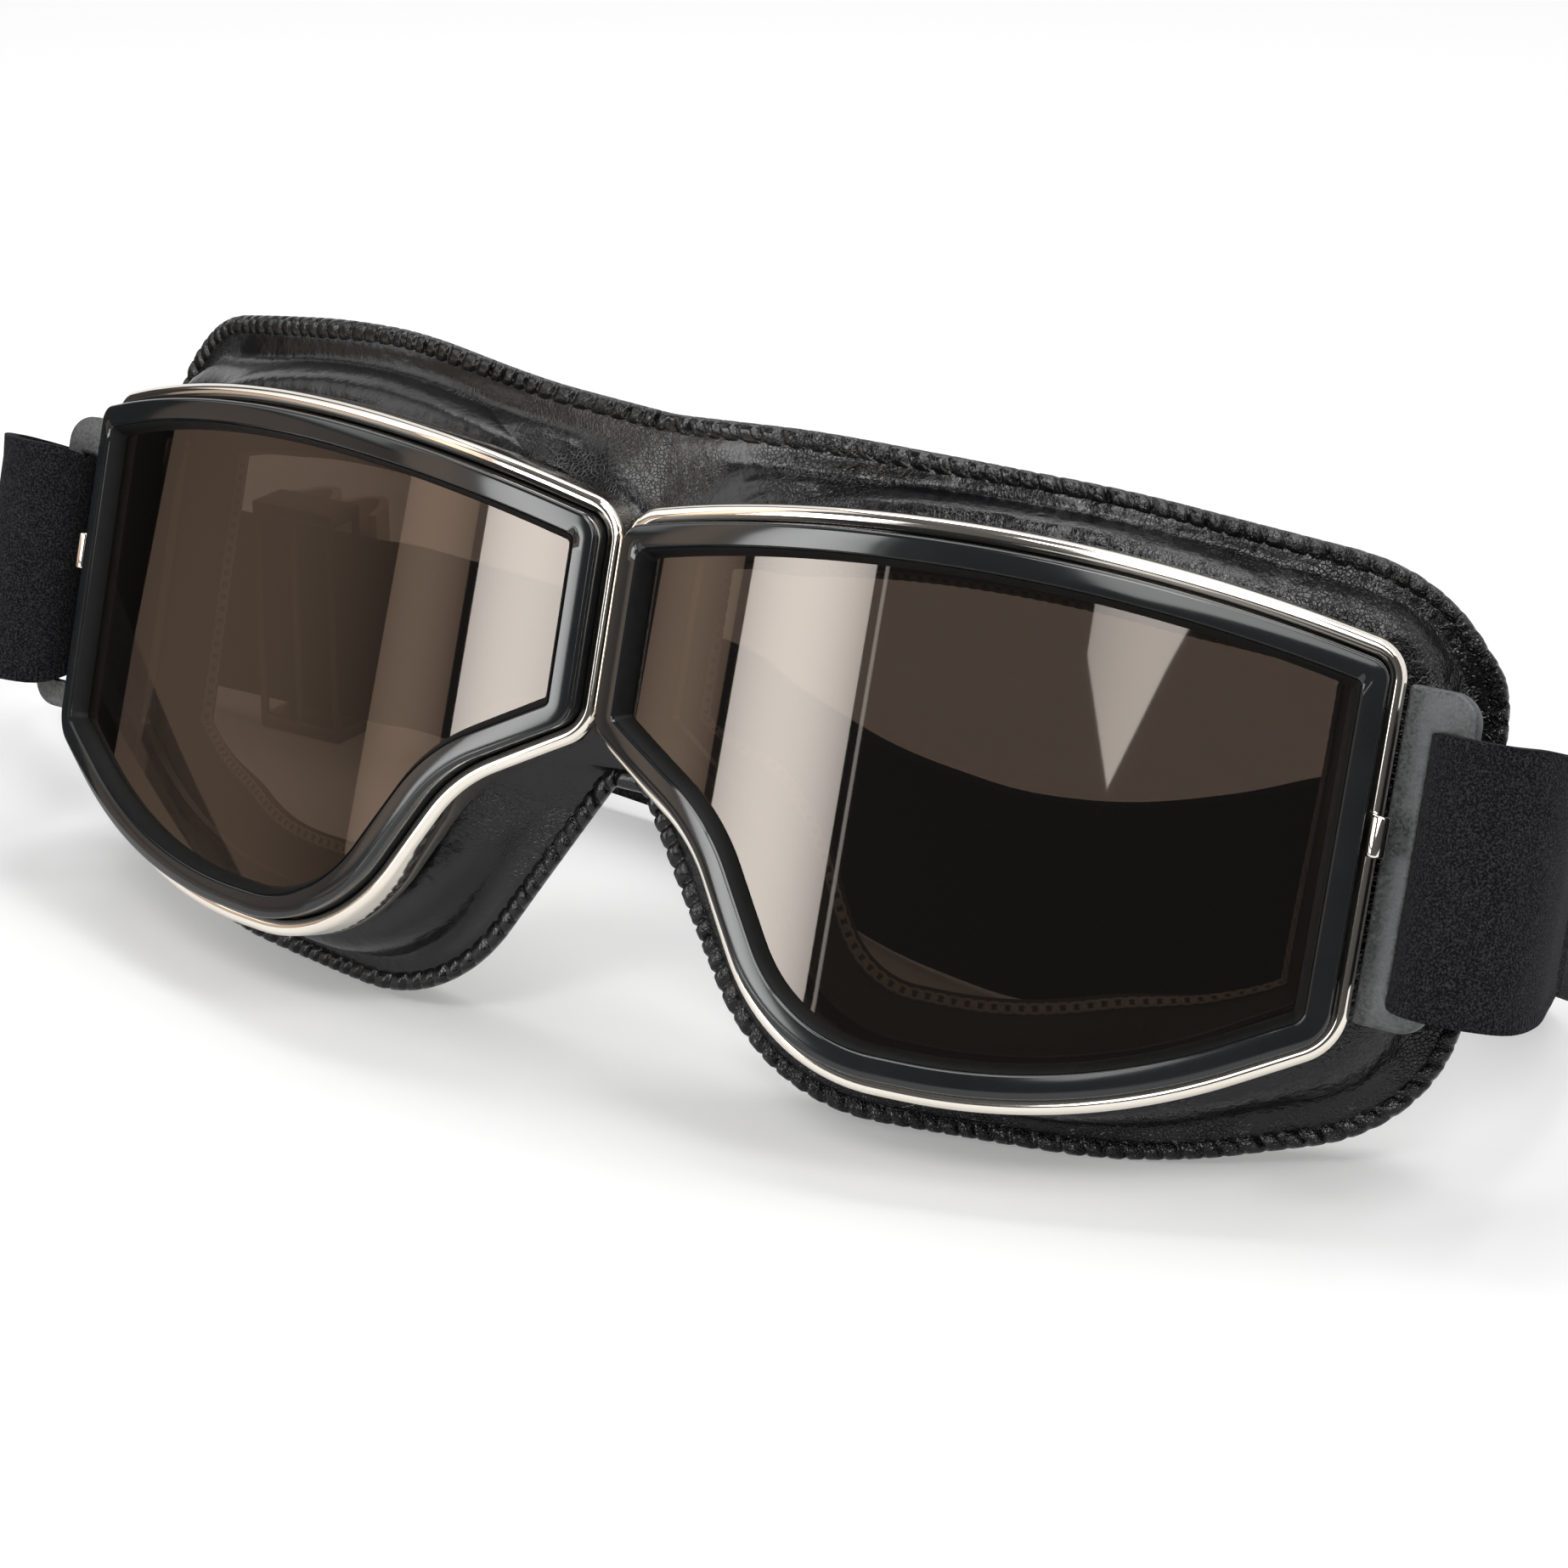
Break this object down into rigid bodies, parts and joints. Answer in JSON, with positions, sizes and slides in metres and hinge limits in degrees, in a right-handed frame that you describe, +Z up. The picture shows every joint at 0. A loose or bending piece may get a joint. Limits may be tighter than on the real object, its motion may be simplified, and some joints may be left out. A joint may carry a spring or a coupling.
{
  "type": "motorcycle goggles",
  "caption": "Split-lens riding goggles: framed smoked lenses in a padded leather mask that folds at the nose, on a flat elastic strap with a slider.",
  "frame": {"origin": "middle of the footprint, on the table the goggles stand on", "axes": "+Z up, -Y out of the lenses towards the viewer, +X to the viewer's right; the goggles lean back from the table"},
  "size_m": [0.2136, 0.0792, 0.0673],
  "materials": {
    "chrome": "bright plated, warm",
    "black_gloss": "glossy black",
    "smoked_lens": "clear brown smoke, polished",
    "steel": "plain",
    "gray_paint": "fine textured gray powder coat",
    "black_leather": "pebble grain, semi-gloss",
    "foam": "open-cell foam",
    "lining_leather": "soft matte",
    "elastic": "matte knitted nap"
  },
  "bodies": {
    "left_half": {"left_bezel": "chrome", "left_bezel_clip": "chrome", "left_lens_gasket": "black_gloss", "left_lens": "smoked_lens", "left_retaining_ring": "steel", "left_strap_bracket": "gray_paint", "left_mask_leather": "black_leather", "left_rim_binding": "black_leather", "left_face_pad": "foam", "left_mask_lining": "lining_leather", "nose_bridge_leather": "black_leather", "elastic_strap": "elastic"},
    "right_half": {"right_bezel": "chrome", "right_bezel_clip": "chrome", "right_lens_gasket": "black_gloss", "right_lens": "smoked_lens", "right_retaining_ring": "steel", "right_strap_bracket": "gray_paint", "right_mask_leather": "black_leather", "right_rim_binding": "black_leather", "right_face_pad": "foam", "right_mask_lining": "lining_leather"},
    "slider": {"strap_slider": "steel"}
  },
  "joints": [
    {"name": "nose_fold", "type": "hinge", "parent": "left_half", "child": "right_half", "pos_m": [0.01157, -0.02086, 0.03372], "axis": [0, 0.2907, 0.9568], "range_deg": [0, 35], "deforming": ["elastic_strap", "nose_bridge_leather"]},
    {"name": "slider_slide", "type": "slide", "parent": "left_half", "child": "slider", "axis": [1, 0, 0], "range_m": [-0.009, 0.009]}
  ]
}
